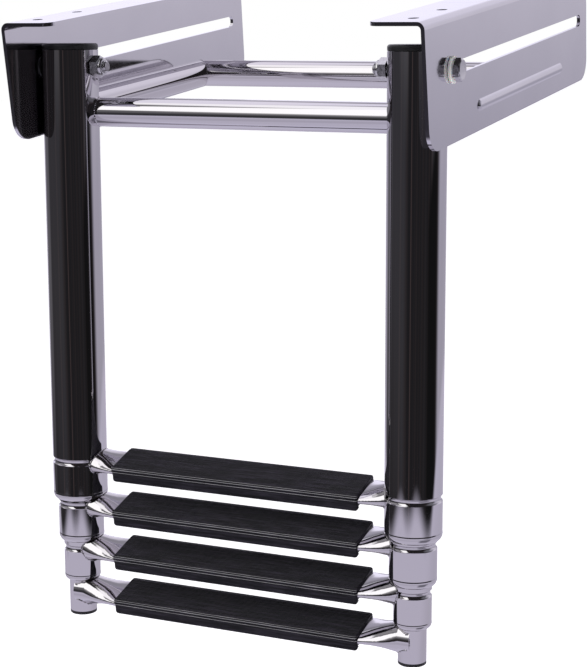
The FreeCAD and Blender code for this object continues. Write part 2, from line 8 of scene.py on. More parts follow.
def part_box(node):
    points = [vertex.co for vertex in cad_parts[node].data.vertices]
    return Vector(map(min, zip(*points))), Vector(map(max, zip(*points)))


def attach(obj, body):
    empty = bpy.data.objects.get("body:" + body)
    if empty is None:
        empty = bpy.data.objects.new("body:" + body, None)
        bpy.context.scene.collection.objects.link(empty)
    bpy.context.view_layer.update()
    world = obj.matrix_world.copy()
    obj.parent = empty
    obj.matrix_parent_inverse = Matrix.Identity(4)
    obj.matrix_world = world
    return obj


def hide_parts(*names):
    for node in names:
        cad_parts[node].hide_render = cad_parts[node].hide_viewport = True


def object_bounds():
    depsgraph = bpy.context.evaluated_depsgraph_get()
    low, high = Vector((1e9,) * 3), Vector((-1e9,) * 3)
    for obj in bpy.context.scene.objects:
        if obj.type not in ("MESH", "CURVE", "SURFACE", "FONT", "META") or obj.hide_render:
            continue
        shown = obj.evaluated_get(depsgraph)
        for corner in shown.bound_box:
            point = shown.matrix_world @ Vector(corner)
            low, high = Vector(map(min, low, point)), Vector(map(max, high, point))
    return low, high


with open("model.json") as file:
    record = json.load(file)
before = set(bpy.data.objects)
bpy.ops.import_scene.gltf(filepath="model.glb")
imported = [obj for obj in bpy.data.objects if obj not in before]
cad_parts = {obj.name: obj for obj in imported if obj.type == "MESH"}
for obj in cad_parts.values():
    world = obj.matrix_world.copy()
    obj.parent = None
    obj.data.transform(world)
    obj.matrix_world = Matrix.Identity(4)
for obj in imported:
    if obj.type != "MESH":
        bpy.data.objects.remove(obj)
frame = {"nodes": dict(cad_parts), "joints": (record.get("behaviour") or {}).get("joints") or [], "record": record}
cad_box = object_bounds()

# Looks of an under-platform telescoping boarding ladder.
# Row frame, metres: X across the ladder, Y inboard, Z up.

MM = 0.001

# ---- driving values -----------------------------------------------------------------------

# Camera
CAMERA_PLACE = Vector((0.51885, -1.15283, 0.10283))
CAMERA_YAW = 25.446             # degrees from +Y towards -X
CAMERA_PITCH = 15.531           # degrees below the horizon
CAMERA_ROLL = -2.787
CAMERA_LENS = 94.37
CAMERA_SENSOR = 36.0
CAMERA_NEAR = 0.05
CAMERA_FAR = 60.0

# Treads: places of the cross-section, as the CAD treads have them
TREAD_TILT = 16.0               # degrees from the perpendicular of the uprights
TREAD_HALF_LENGTH = 92.5 * MM
TREAD_FRONT = -15.1 * MM
TREAD_BACK = 16.3 * MM
TREAD_TOP = 4.4 * MM
TREAD_LIP_BOTTOM = -6.7 * MM
TREAD_LIP_THICKNESS = 2.2 * MM
TREAD_BACK_BOTTOM = -3.6 * MM
CAVITY_HALF_WIDTH = 13.0 * MM
CAVITY_HALF_HEIGHT = 2.35 * MM
OPENING_HALF_WIDTH = 8.5 * MM
LIP_HOLLOW = 0.45 * MM
LIP_EDGE_R = 0.9 * MM           # rounding of the lip's lower front edge
LIP_INNER_CHAMFER = 0.3 * MM
LIP_FACE_STEPS = 10
LIP_RIDGE_Z = 1.1 * MM          # height of the ridge on the lip's face
LIP_RIDGE_HALF = 0.17 * MM      # half the width of its crest
NOSE_DROP = 0.5 * MM            # from the edge ridge's foot down to the lip's face
NOSE_STEP = (0.12 * MM, 0.4 * MM)
NOSE_SETBACK = 0.2 * MM         # from the lip's face to the edge ridge's foot
EDGE_RIDGE_WIDTH = 1.1 * MM
EDGE_RIDGE_HEIGHT = 0.8 * MM
EDGE_RIDGE_STEPS = 10
EDGE_RIDGE_GAP = 0.35 * MM      # flat behind the edge ridge
# painted highlight: these steps of the edge ridge get the pale grey crest plastic
HIGHLIGHT_STEPS = (3, 4, 5, 6)       # the steps of the edge ridge that lie on its crest
RIB_PITCH = 1.42 * MM
RIB_HEIGHT = 0.55 * MM
RIB_SINK = 0.2 * MM             # how far the rib tops lie below the edge ridge
RIB_STEPS = 6
RIB_FULLNESS = 0.7              # exponent of a rib's rounding; 1 is a sine
BACK_TOP_R = 1.6 * MM
BACK_FOOT_R = 0.6 * MM
STATIONS_MM = (0.0, 0.12, 0.3, 0.55, 0.85, 1.2, 1.6, 2.1, 2.7, 3.4, 4.2, 5.0)   # from an end

# Roundings of a tread's ends: how far each edge draws in, and over what length
FRONT_ROUNDING = (1.2 * MM, 1.6 * MM)
BACK_ROUNDING = (1.3 * MM, 1.8 * MM)
LIP_ROUNDING = (2.2 * MM, 2.6 * MM)
TOP_ROUNDING = (0.3 * MM, 0.6 * MM)
TREAD_CREASE = 40.0

# Pivot bolts, M8
BOLT_R = 4.0 * MM
THREAD_PITCH = 1.25 * MM
THREAD_DEPTH = 0.62 * MM
THREAD_LENGTH = 14.0 * MM
THREAD_RUN_IN = 0.9 * MM
THREAD_RUN_OUT = 0.6 * MM
RINGS_PER_THREAD = 12
HEAD_HEIGHT = 5.3 * MM
HEX_ACROSS_FLATS = 13.0 * MM
HEX_STEPS = 96
HEAD_CHAMFER = 0.9 * MM
HEAD_CHAMFER_STEPS = 6
BOLT_CREASE = 24.0

# Stand-off frame
ARM_RISE = 5.5                  # degrees above the perpendicular of the uprights

# Weld beads
BEAD_R = 0.6 * MM
BEAD_RIPPLE = 0.07              # share of the bead's radius
BEAD_PITCH = 1.5 * MM
BEAD_STEP = BEAD_PITCH / 5
BEAD_STEPS_ROUND = 12
BEAD_SMOOTHINGS = 3
BEAD_CREASE = 60.0
MITRE_BEAD_SHARE = 0.55         # size of a mitre's bead beside the others
MITRE_STEPS = 96
COPE_GAP = 4.0 * MM             # a wider gap than this opens a bead's loop
COPE_TURNS_PER_RADIAN = 28      # how finely a bar's end points are sorted by direction
COPE_TOLERANCE = 0.25 * MM      # how near a bar's end points lie to the upright's own radius
UPRIGHT_TOLERANCE = 0.02        # how far an upright's wall may face up or down

# Floor
FLOOR_CLEARANCE = 0.06          # metres below the drawn-out ladder
FLOOR_R = 9.0
FLOOR_STEPS = 96

# ---- places read from the frame -----------------------------------------------------------

joints = {j["name"]: j for j in frame["joints"]}
PIVOT = Vector(joints["ladder_swing"]["pos_m"])
slide_axis = Vector(joints["stage_2_slide"]["axis"])
LEAN = math.atan2(-slide_axis.y, -slide_axis.z)

TO_ROW = Matrix.Translation(PIVOT) @ Matrix.Rotation(-LEAN, 4, "X")
TO_LADDER = TO_ROW.inverted()

BODY_OF_STAGE = ("main_frame", "stage_2", "stage_3", "stage_4")
SIDES = (("left", -1), ("right", 1))


def box_middle(node):
    low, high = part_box(node)
    return (low + high) / 2


def upright(stage, side):
    """Centre line's X and outside radius of an upright tube."""
    low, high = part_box(side + "_tube_" + str(stage))
    return (low.x + high.x) / 2, (high.x - low.x) / 2


# ---- mesh helpers -------------------------------------------------------------------------

def make_piece(name, points, faces, matrix=Matrix.Identity(4), crease=35.0):
    """A mesh object in the row frame, smooth but for edges sharper than crease degrees."""
    mesh = bpy.data.meshes.new(name)
    mesh.from_pydata([matrix @ Vector(p) for p in points], [], faces)
    mesh.validate()
    mesh.shade_smooth()
    mesh.set_sharp_from_angle(angle=math.radians(crease))
    piece = bpy.data.objects.new(name, mesh)
    bpy.context.scene.collection.objects.link(piece)
    return piece


def loft_faces(rings, count, closed_ends):
    """Quads between consecutive rings of count points each, with end faces if asked for."""
    faces = []
    for r in range(rings - 1):
        for k in range(count):
            a = r * count + k
            b = r * count + (k + 1) % count
            faces.append((a, b, b + count, a + count))
    if closed_ends:
        faces.append(tuple(reversed(range(count))))
        faces.append(tuple(range((rings - 1) * count, rings * count)))
    return faces


def quarter(run, share):
    """Height of a quarter ellipse of unit height at a distance from its foot."""
    if share >= run:
        return 0.0
    return 1.0 - math.sqrt(max(0.0, 1.0 - (1.0 - share / run) ** 2))


def arc_points(centre, radius, start, end, count):
    """Points of an arc in the section's plane, angles in degrees."""
    found = []
    for k in range(count):
        turn = math.radians(start + (end - start) * k / (count - 1))
        found.append((centre[0] + radius * math.cos(turn), centre[1] + radius * math.sin(turn)))
    return found


# ---- uprights -----------------------------------------------------------------------------

def true_round(stage, side):
    """Exact radial normals on the straight outside of an upright, so that it mirrors evenly."""
    mesh = frame["nodes"][side + "_tube_" + str(stage)].data
    centre_x, radius = upright(stage, side)
    normals = [corner.vector.copy() for corner in mesh.corner_normals]
    places = [TO_LADDER @ vertex.co for vertex in mesh.vertices]
    turn = TO_ROW.to_3x3()
    back = turn.inverted()
    for face in mesh.polygons:
        on_wall = [abs(math.hypot(places[v].x - centre_x, places[v].y) - radius) < COPE_TOLERANCE
                   for v in face.vertices]
        facing = back @ face.normal
        if not all(on_wall) or abs(facing.z) > UPRIGHT_TOLERANCE:
            continue
        for corner in face.loop_indices:
            place = places[mesh.loops[corner].vertex_index]
            normals[corner] = turn @ Vector((place.x - centre_x, place.y, 0)).normalized()
    mesh.normals_split_custom_set(normals)


# ---- treads -------------------------------------------------------------------------------

def ridge(start, width, base, height, steps):
    """A rounded rib across the section, from its foot to just before the next one's foot."""
    found = []
    for k in range(steps):
        share = k / steps
        rise = height * math.sin(math.pi * share) ** RIB_FULLNESS
        found.append((start + width * share, base + rise))
    return found


def lip_face(low, high):
    """The lip's hollow front face, upward, and the place of its ridge's crest."""
    points = []
    for k in range(1, LIP_FACE_STEPS):
        z = low + (high - low) * k / LIP_FACE_STEPS
        if abs(z - LIP_RIDGE_Z) > 2 * LIP_RIDGE_HALF:
            inward = LIP_HOLLOW * math.sin(math.pi * (z - low) / (high - low))
            points.append((TREAD_FRONT + inward, z))
    crest = (TREAD_FRONT, LIP_RIDGE_Z - LIP_RIDGE_HALF)
    points.append((TREAD_FRONT + LIP_HOLLOW, LIP_RIDGE_Z - 2 * LIP_RIDGE_HALF))
    points.append(crest)
    points.append((TREAD_FRONT, LIP_RIDGE_Z + LIP_RIDGE_HALF))
    points.append((TREAD_FRONT + LIP_HOLLOW, LIP_RIDGE_Z + 2 * LIP_RIDGE_HALF))
    points.sort(key=lambda point: point[1])
    return points, points.index(crest)


def tread_section():
    """A tread's outside (lip, ridge, ribs, back), its hollow, and the places of its crests that are painted pale
    as a highlight.
    """
    outside = []
    inner = TREAD_FRONT + TREAD_LIP_THICKNESS
    outside.append((inner, TREAD_LIP_BOTTOM + LIP_INNER_CHAMFER))
    outside.append((inner - LIP_INNER_CHAMFER, TREAD_LIP_BOTTOM))
    low = TREAD_LIP_BOTTOM + LIP_EDGE_R
    outside += arc_points((TREAD_FRONT + LIP_EDGE_R, low), LIP_EDGE_R, 270, 180, 6)
    foot = TREAD_TOP - EDGE_RIDGE_HEIGHT
    high = foot - NOSE_DROP
    face, crest = lip_face(low, high)
    # painted highlight: the lip ridge's crest and the step below the edge ridge take the pale grey plastic
    painted_highlights = [len(outside) + crest, len(outside) + len(face)]
    outside += face
    outside.append((TREAD_FRONT, high))
    outside.append((TREAD_FRONT + NOSE_STEP[0], high + NOSE_STEP[1]))
    y = TREAD_FRONT + NOSE_SETBACK
    painted_highlights += [len(outside) + step for step in HIGHLIGHT_STEPS]
    outside += ridge(y, EDGE_RIDGE_WIDTH, foot, EDGE_RIDGE_HEIGHT, EDGE_RIDGE_STEPS)
    y += EDGE_RIDGE_WIDTH
    outside.append((y, foot))
    y += EDGE_RIDGE_GAP
    base = TREAD_TOP - RIB_SINK - RIB_HEIGHT
    for _ in range(int((TREAD_BACK - BACK_TOP_R - y) / RIB_PITCH)):
        outside += ridge(y, RIB_PITCH, base, RIB_HEIGHT, RIB_STEPS)
        y += RIB_PITCH
    outside.append((y, base))
    top_centre = (TREAD_BACK - BACK_TOP_R, base + RIB_HEIGHT / 2 - BACK_TOP_R)
    outside += arc_points(top_centre, BACK_TOP_R, 80, 0, 7)
    foot_centre = (TREAD_BACK - BACK_FOOT_R, TREAD_BACK_BOTTOM + BACK_FOOT_R)
    outside += arc_points(foot_centre, BACK_FOOT_R, 0, -90, 4)
    hollow = [
        (OPENING_HALF_WIDTH, TREAD_BACK_BOTTOM),
        (OPENING_HALF_WIDTH, -CAVITY_HALF_HEIGHT),
        (CAVITY_HALF_WIDTH, -CAVITY_HALF_HEIGHT),
        (CAVITY_HALF_WIDTH, CAVITY_HALF_HEIGHT),
        (-CAVITY_HALF_WIDTH, CAVITY_HALF_HEIGHT),
        (-CAVITY_HALF_WIDTH, -CAVITY_HALF_HEIGHT),
        (-OPENING_HALF_WIDTH, -CAVITY_HALF_HEIGHT),
        (-OPENING_HALF_WIDTH, TREAD_BACK_BOTTOM),
        (inner, TREAD_BACK_BOTTOM),
    ]
    return outside, hollow, painted_highlights


def tread_stations():
    """X places of the sections: close together where the ends round off."""
    half = [TREAD_HALF_LENGTH - d * MM for d in STATIONS_MM]
    return [-x for x in half] + [-TREAD_HALF_LENGTH / 3, TREAD_HALF_LENGTH / 3] + list(reversed(half))


def drawn_in(rounding, from_end):
    """How far an edge draws in at a distance from the tread's end."""
    depth, run = rounding
    return depth * quarter(run, from_end)


def tread_piece(stage):
    """A ribbed tread in the CAD tread's place, the crests of its ridges painted pale grey as a highlight."""
    outside, hollow, painted_highlights = tread_section()
    points = []
    stations = tread_stations()
    for x in stations:
        from_end = TREAD_HALF_LENGTH - abs(x)
        front = TREAD_FRONT + drawn_in(FRONT_ROUNDING, from_end)
        back = TREAD_BACK - drawn_in(BACK_ROUNDING, from_end)
        lip = TREAD_LIP_BOTTOM + drawn_in(LIP_ROUNDING, from_end)
        drop = drawn_in(TOP_ROUNDING, from_end)
        for y, z in outside:
            share = (y - TREAD_FRONT) / (TREAD_BACK - TREAD_FRONT)
            new_y = front + (back - front) * share
            if z < TREAD_BACK_BOTTOM:
                depth = (z - TREAD_BACK_BOTTOM) / (TREAD_LIP_BOTTOM - TREAD_BACK_BOTTOM)
                z = TREAD_BACK_BOTTOM + (lip - TREAD_BACK_BOTTOM) * depth
            elif z > 0:
                z -= drop * z / TREAD_TOP
            points.append((x, new_y, z))
        for y, z in hollow:
            points.append((x, y, z))
    count = len(outside) + len(hollow)
    turn = Matrix.Rotation(math.radians(TREAD_TILT) - LEAN, 4, "X")
    place = Matrix.Translation(bar_axis(stage)) @ turn
    name = "ribbed_tread_" + str(stage)
    piece = make_piece(name, points, loft_faces(len(stations), count, True), place, TREAD_CREASE)
    piece.data.materials.append(black_tread)
    piece.data.materials.append(painted_highlight_tread)
    # painted highlight: the crest faces take a pale grey plastic in place of the light their rounding would catch
    for ring in range(len(stations) - 1):
        for k in painted_highlights:
            piece.data.polygons[ring * count + k].material_index = 1
    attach(piece, BODY_OF_STAGE[stage - 1])
    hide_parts("tread_" + str(stage))


def bar_axis(stage):
    """Middle of a step bar; only the first bar's box has its axis in the middle."""
    above_bar = box_middle("tread_1") - box_middle("step_bar_1")
    return box_middle("tread_" + str(stage)) - above_bar


# ---- pivot bolts --------------------------------------------------------------------------

def hex_radius(turn):
    """Distance from a hexagon's centre to its side; a corner lies at turn 0."""
    return HEX_ACROSS_FLATS / 2 / math.cos((turn % (math.pi / 3)) - math.pi / 6)


def round_ring(x, radius):
    return x, [radius] * HEX_STEPS


def hex_ring(x, limit, trim=0.0):
    """A hexagonal ring whose corners are turned down to limit."""
    turns = [2 * math.pi * k / HEX_STEPS for k in range(HEX_STEPS)]
    return x, [min(hex_radius(turn) - trim, limit) for turn in turns]


def thread_ring(x, from_tip, minor):
    """A ring across the thread, which runs in over its first turn."""
    start = min(1.0, from_tip / THREAD_RUN_IN)
    radii = []
    for k in range(HEX_STEPS):
        phase = (from_tip / THREAD_PITCH + k / HEX_STEPS) % 1.0
        crest = 1.0 - abs(2.0 * phase - 1.0)
        crest = min(1.0, max(0.0, crest * 1.5 - 0.2))
        radii.append(minor + THREAD_DEPTH * crest * start - 0.08 * minor * (1 - start))
    return x, radii


def bolt_rings(tip, head):
    """Rings of a bolt from its threaded tip to the face of its head, as (x, radii)."""
    minor = BOLT_R - THREAD_DEPTH
    rings = [round_ring(tip, minor * 0.3), round_ring(tip, minor * 0.92)]
    steps = int(THREAD_LENGTH / THREAD_PITCH * RINGS_PER_THREAD)
    for k in range(steps + 1):
        from_tip = THREAD_LENGTH * k / steps
        rings.append(thread_ring(tip + from_tip, from_tip, minor))
    rings.append(round_ring(tip + THREAD_LENGTH + THREAD_RUN_OUT, BOLT_R))
    rings.append(round_ring(head, BOLT_R))
    # washer face under the head, then the hexagon
    face_r = HEX_ACROSS_FLATS / 2 * 0.95
    rings.append(round_ring(head, face_r))
    rings.append(round_ring(head + 0.25 * MM, face_r))
    rings.append(hex_ring(head + 0.25 * MM, face_r + 0.75 * MM))
    rings.append(hex_ring(head + 0.7 * MM, HEX_ACROSS_FLATS, 0.02 * MM))
    top = head + HEAD_HEIGHT
    for k in range(HEAD_CHAMFER_STEPS + 1):
        left = 1 - k / HEAD_CHAMFER_STEPS
        rings.append(hex_ring(top - HEAD_CHAMFER * 1.6 * left, face_r + left * HEAD_CHAMFER * 1.75))
    # the head's face, dished a little
    rings.append(round_ring(top, face_r - 0.35 * MM))
    rings.append(round_ring(top - 0.18 * MM, face_r - 1.3 * MM))
    rings.append(round_ring(top - 0.22 * MM, face_r * 0.2))
    return rings


def bolt_piece(side, sign):
    """A pivot bolt with thread and chamfered head, in the plain CAD bolt's place."""
    low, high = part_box(side + "_pivot_bolt")
    tip = min(abs(low.x), abs(high.x))
    head = max(abs(low.x), abs(high.x)) - HEAD_HEIGHT
    rings = bolt_rings(tip, head)
    points = []
    for x, radii in rings:
        for k, r in enumerate(radii):
            turn = 2 * math.pi * k / HEX_STEPS
            y = PIVOT.y + sign * r * math.sin(turn)
            points.append((sign * x, y, PIVOT.z + r * math.cos(turn)))
    faces = [tuple(reversed(face)) for face in loft_faces(len(rings), HEX_STEPS, True)]
    piece = make_piece(side + "_hex_bolt", points, faces, crease=BOLT_CREASE)
    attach(piece, "carriage")
    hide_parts(side + "_pivot_bolt")
    return piece


# ---- weld beads ---------------------------------------------------------------------------

def cope_edge(bar, stage, side):
    """The outer edge of a bar's end where it meets an upright, in order round the bar."""
    centre_x, radius = upright(stage, side)
    found = {}
    on_edge = [v.co for v in frame["nodes"][bar].data.vertices if (v.co.x > 0) == (centre_x > 0)]
    on_edge = [TO_LADDER @ p for p in on_edge]
    on_edge = [p for p in on_edge if abs(math.hypot(p.x - centre_x, p.y) - radius) < COPE_TOLERANCE]
    middle = sum(on_edge, Vector()) / len(on_edge)
    across = Vector((0, 1, 0)) if abs(middle.y) < radius / 2 else Vector((1, 0, 0))
    for p in on_edge:
        offset = p - middle
        turn = math.atan2(offset.z, offset.dot(across))
        reach = math.hypot(offset.z, offset.dot(across))
        key = round(turn * COPE_TURNS_PER_RADIAN)
        if key not in found or reach > found[key][0]:
            found[key] = (reach, turn, p)
    return [entry[2] for entry in sorted(found.values(), key=lambda entry: entry[1])]


def split_at_gaps(ordered, gap):
    """One chain of points, and whether it closes on itself; a wide gap opens it."""
    steps = [(ordered[(k + 1) % len(ordered)] - p).length for k, p in enumerate(ordered)]
    widest = max(range(len(steps)), key=lambda k: steps[k])
    if steps[widest] < gap:
        return ordered, True
    return ordered[widest + 1:] + ordered[:widest + 1], False


def even_points(chain, closed, spacing):
    """Points at an even spacing along a chain."""
    loop = chain + chain[:1] if closed else chain
    lengths = [0.0]
    for a, b in zip(loop, loop[1:]):
        lengths.append(lengths[-1] + (b - a).length)
    count = max(8, int(lengths[-1] / spacing))
    found = []
    at = 0
    last = count if closed else count + 1
    for k in range(last):
        want = lengths[-1] * k / count
        while at < len(lengths) - 2 and lengths[at + 1] < want:
            at += 1
        share = (want - lengths[at]) / max(1e-9, lengths[at + 1] - lengths[at])
        found.append(loop[at].lerp(loop[at + 1], min(1.0, share)))
    return found


def neighbours(path, k, closed):
    """The points before and after a point; at an open end, the point itself."""
    before = path[k - 1] if closed or k > 0 else path[k]
    after = path[(k + 1) % len(path)] if closed or k < len(path) - 1 else path[k]
    return before, after


def bead_radius(k, count, closed, radius):
    """A bead's radius at its k-th ring: rippled, a little uneven, thinner at open ends."""
    ripple = 1.0 + BEAD_RIPPLE * (abs(math.sin(math.pi * k * BEAD_STEP / BEAD_PITCH)) - 0.5)
    wander = 1.0 + 0.06 * math.sin(k * 0.37) + 0.04 * math.sin(k * 0.91 + 1.3)
    taper = 1.0 if closed else min(1.0, 0.25 + 0.15 * min(k, count - 1 - k))
    return radius * ripple * wander * taper


def bead_piece(name, chain, closed, body, radius=BEAD_R):
    """A rippled bead of weld metal along a chain of points of the row frame."""
    path = even_points(chain, closed, BEAD_STEP)
    for _ in range(BEAD_SMOOTHINGS):
        smooth = []
        for k, p in enumerate(path):
            before, after = neighbours(path, k, closed)
            smooth.append((before + p * 2 + after) / 4)
        path = smooth
    points = []
    reference = Vector((0.31, 0.87, 0.38))   # lies along no bead
    for k, p in enumerate(path):
        before, after = neighbours(path, k, closed)
        along = (after - before).normalized()
        side = (reference - along * reference.dot(along)).normalized()
        other = along.cross(side)
        r = bead_radius(k, len(path), closed, radius)
        for m in range(BEAD_STEPS_ROUND):
            turn = 2 * math.pi * m / BEAD_STEPS_ROUND
            points.append(p + side * (r * math.cos(turn)) + other * (r * math.sin(turn)))
    faces = loft_faces(len(path), BEAD_STEPS_ROUND, not closed)
    if closed:
        last = (len(path) - 1) * BEAD_STEPS_ROUND
        shift = min(range(BEAD_STEPS_ROUND), key=lambda m: (points[last] - points[m]).length)
        for m in range(BEAD_STEPS_ROUND):
            a = last + m
            b = last + (m + 1) % BEAD_STEPS_ROUND
            faces.append((a, b, (m + 1 + shift) % BEAD_STEPS_ROUND, (m + shift) % BEAD_STEPS_ROUND))
    piece = make_piece(name, points, faces, crease=BEAD_CREASE)
    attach(piece, body)
    return piece


def cope_weld(name, bar, stage, side, body):
    """The bead where a bar's coped end meets an upright."""
    chain, closed = split_at_gaps(cope_edge(bar, stage, side), COPE_GAP)
    return bead_piece(name, [TO_ROW @ p for p in chain], closed, body)


def mitre_weld(name, sign):
    """The seam round a mitred corner of the stand-off frame."""
    low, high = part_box("standoff_back_bar")
    radius = (high.z - low.z) / 2
    centre_x = upright(1, "right")[0]
    corner = Vector((sign * centre_x, (low.y + high.y) / 2, (low.z + high.z) / 2))
    rise = math.radians(ARM_RISE) - LEAN
    arm = Vector((0, math.cos(rise), math.sin(rise)))
    turned = Vector((0, -math.sin(rise), math.cos(rise)))
    across = Vector((-sign, 0, 0))
    normal = (arm + across).normalized()
    chain = []
    for k in range(MITRE_STEPS):
        turn = 2 * math.pi * k / MITRE_STEPS
        offset = across * (radius * math.cos(turn)) + turned * (radius * math.sin(turn))
        along = -offset.dot(normal) / arm.dot(normal)
        chain.append(corner + offset + arm * along)
    return bead_piece(name, chain, True, "main_frame", BEAD_R * MITRE_BEAD_SHARE)


# ---- materials ----------------------------------------------------------------------------

class Shade:
    """A material's node tree, with short calls for the nodes that these materials use."""

    def __init__(self, name):
        self.material = bpy.data.materials.new(name)
        self.material.use_nodes = True
        self.tree = self.material.node_tree
        self.shader = self.tree.nodes["Principled BSDF"]
        self.place = self.node("ShaderNodeTexCoord").outputs["Object"]

    def node(self, kind, **values):
        made = self.tree.nodes.new(kind)
        for key, value in values.items():
            setattr(made, key, value)
        return made

    def link(self, source, target):
        self.tree.links.new(source, target)

    def set(self, **values):
        for key, value in values.items():
            self.shader.inputs[key.replace("_", " ")].default_value = value

    def stretched(self, scale, tilt=0.0):
        """Object coordinates turned about X by tilt degrees, then scaled."""
        turn = self.node("ShaderNodeMapping")
        turn.inputs["Rotation"].default_value = (math.radians(tilt), 0, 0)
        self.link(self.place, turn.inputs["Vector"])
        stretch = self.node("ShaderNodeMapping")
        stretch.inputs["Scale"].default_value = scale
        self.link(turn.outputs["Vector"], stretch.inputs["Vector"])
        return stretch.outputs["Vector"]

    def noise(self, vector, scale, detail=3.0, rough=0.5):
        made = self.node("ShaderNodeTexNoise")
        made.inputs["Scale"].default_value = scale
        made.inputs["Detail"].default_value = detail
        made.inputs["Roughness"].default_value = rough
        self.link(vector, made.inputs["Vector"])
        return made.outputs["Fac"]

    def spread(self, value, low, high, from_low=0.3, from_high=0.7):
        made = self.node("ShaderNodeMapRange")
        made.inputs["From Min"].default_value = from_low
        made.inputs["From Max"].default_value = from_high
        made.inputs["To Min"].default_value = low
        made.inputs["To Max"].default_value = high
        self.link(value, made.inputs["Value"])
        return made.outputs["Result"]

    def maths(self, operation, a, b):
        made = self.node("ShaderNodeMath", operation=operation)
        for socket, value in zip(made.inputs, (a, b)):
            if isinstance(value, (int, float)):
                socket.default_value = value
            else:
                self.link(value, socket)
        return made.outputs["Value"]

    def mixer(self, share, second):
        """A colour mix towards second, its first colour still to be given."""
        made = self.node("ShaderNodeMix", data_type="RGBA")
        factor = [s for s in made.inputs if s.name == "Factor" and s.type == "VALUE"][0]
        self.link(share, factor)
        colours = [s for s in made.inputs if s.type == "RGBA"]
        colours[1].default_value = (*second, 1)
        return colours[0], [s for s in made.outputs if s.type == "RGBA"][0]

    def blend(self, share, first, second):
        """A mix of two plain colours."""
        place, result = self.mixer(share, second)
        place.default_value = (*first, 1)
        return result

    def tint(self, colour, share, second):
        """A plain colour laid over a colour that varies."""
        place, result = self.mixer(share, second)
        self.link(colour, place)
        return result

    def bump(self, heights, strength, distance):
        """Bumps from one or more height sources, the later ones on top of the earlier."""
        normal = None
        for height, share in heights:
            made = self.node("ShaderNodeBump")
            made.inputs["Strength"].default_value = strength * share
            made.inputs["Distance"].default_value = distance
            self.link(height, made.inputs["Height"])
            if normal is not None:
                self.link(normal, made.inputs["Normal"])
            normal = made.outputs["Normal"]
        self.link(normal, self.shader.inputs["Normal"])


STEEL = (0.735, 0.722, 0.752)
STEEL_WARM = (0.745, 0.722, 0.722)


def polished_steel(name, streaks, tilt=0.0, rough=(0.025, 0.085), waviness=0.03):
    """Mirror-polished stainless: buffing streaks along the piece, smudges and a faint waviness."""
    shade = Shade(name)
    shade.set(Metallic=1.0, Specular_IOR_Level=0.5)
    fine = shade.noise(shade.stretched(streaks, tilt), 1.0, 5.0, 0.6)
    smudge = shade.noise(shade.place, 38.0, 4.0, 0.55)
    tint = shade.noise(shade.stretched((6.0, 6.0, 6.0), tilt), 1.0, 2.0)
    colour = shade.blend(shade.spread(tint, 0.0, 1.0), STEEL, STEEL_WARM)
    shade.link(colour, shade.shader.inputs["Base Color"])
    middle = (rough[0] + rough[1]) / 2
    streaky = shade.spread(fine, rough[0], middle, 0.3, 0.75)
    smudgy = shade.spread(smudge, 0.0, rough[1] - middle, 0.45, 0.75)
    shade.link(shade.maths("ADD", streaky, smudgy), shade.shader.inputs["Roughness"])
    wave = shade.noise(shade.stretched((14.0, 14.0, 14.0), tilt), 1.0, 1.0)
    shade.bump([(wave, 1.0), (fine, 0.02)], waviness, 2.0 * MM)
    return shade.material


def sheet_steel(name):
    """Polished stainless sheet: long rolling lines, fine random scratches, soft smears, and painted shade on the
    end faces that face along Y.
    """
    shade = Shade(name)
    shade.set(Metallic=1.0, Specular_IOR_Level=0.5)
    lines = shade.noise(shade.stretched((900.0, 9.0, 900.0)), 1.0, 4.0, 0.6)
    scratch = shade.noise(shade.stretched((400.0, 60.0, 1500.0), 12.0), 1.0, 3.0, 0.7)
    smear = shade.noise(shade.place, 16.0, 4.0, 0.6)
    colour = shade.blend(shade.spread(smear, 0.0, 1.0), STEEL, (0.70, 0.69, 0.72))
    # painted shade: faces that point along Y, the plates' end faces, are darkened to near black and made rougher
    facing = shade.node("ShaderNodeSeparateXYZ")
    shade.link(shade.node("ShaderNodeNewGeometry").outputs["Normal"], facing.inputs["Vector"])
    end_on = shade.maths("ABSOLUTE", facing.outputs["Y"], 0.0)
    painted_shade_ends = shade.spread(end_on, 0.0, 1.0, 0.88, 0.95)
    shade.link(shade.tint(colour, painted_shade_ends, (0.075, 0.072, 0.080)), shade.shader.inputs["Base Color"])
    streaky = shade.spread(lines, 0.06, 0.10, 0.3, 0.75)
    smeared = shade.spread(smear, 0.0, 0.05, 0.42, 0.75)
    end_roughness = shade.maths("MULTIPLY", painted_shade_ends, 0.3)
    rough = shade.maths("ADD", shade.maths("ADD", streaky, smeared), end_roughness)
    shade.link(rough, shade.shader.inputs["Roughness"])
    shade.bump([(smear, 1.0), (scratch, 0.03)], 0.03, 2.0 * MM)
    return shade.material


def fastener_steel(name):
    """Turned and rolled stainless: a little duller, with fine pits and handling marks."""
    shade = Shade(name)
    shade.set(Metallic=1.0, Specular_IOR_Level=0.5)
    marks = shade.noise(shade.place, 420.0, 4.0, 0.6)
    smudge = shade.noise(shade.place, 90.0, 3.0, 0.5)
    bright = (0.74, 0.735, 0.745)
    dull = (0.66, 0.655, 0.665)
    colour = shade.blend(shade.spread(smudge, 0.0, 1.0), bright, dull)
    shade.link(colour, shade.shader.inputs["Base Color"])
    shade.link(shade.spread(marks, 0.14, 0.28), shade.shader.inputs["Roughness"])
    shade.bump([(marks, 1.0)], 0.05, 0.1 * MM)
    return shade.material


def weld_steel(name):
    """Polished-over weld metal: rougher than the tube, with a faint straw tint in its ripples."""
    shade = Shade(name)
    shade.set(Metallic=1.0, Specular_IOR_Level=0.5)
    grain = shade.noise(shade.place, 700.0, 4.0, 0.6)
    patch = shade.noise(shade.place, 120.0, 2.0)
    colour = shade.blend(shade.spread(patch, 0.0, 1.0), (0.70, 0.69, 0.715), (0.62, 0.59, 0.58))
    shade.link(colour, shade.shader.inputs["Base Color"])
    shade.link(shade.spread(grain, 0.07, 0.18), shade.shader.inputs["Roughness"])
    shade.bump([(grain, 1.0)], 0.12, 0.1 * MM)
    return shade.material


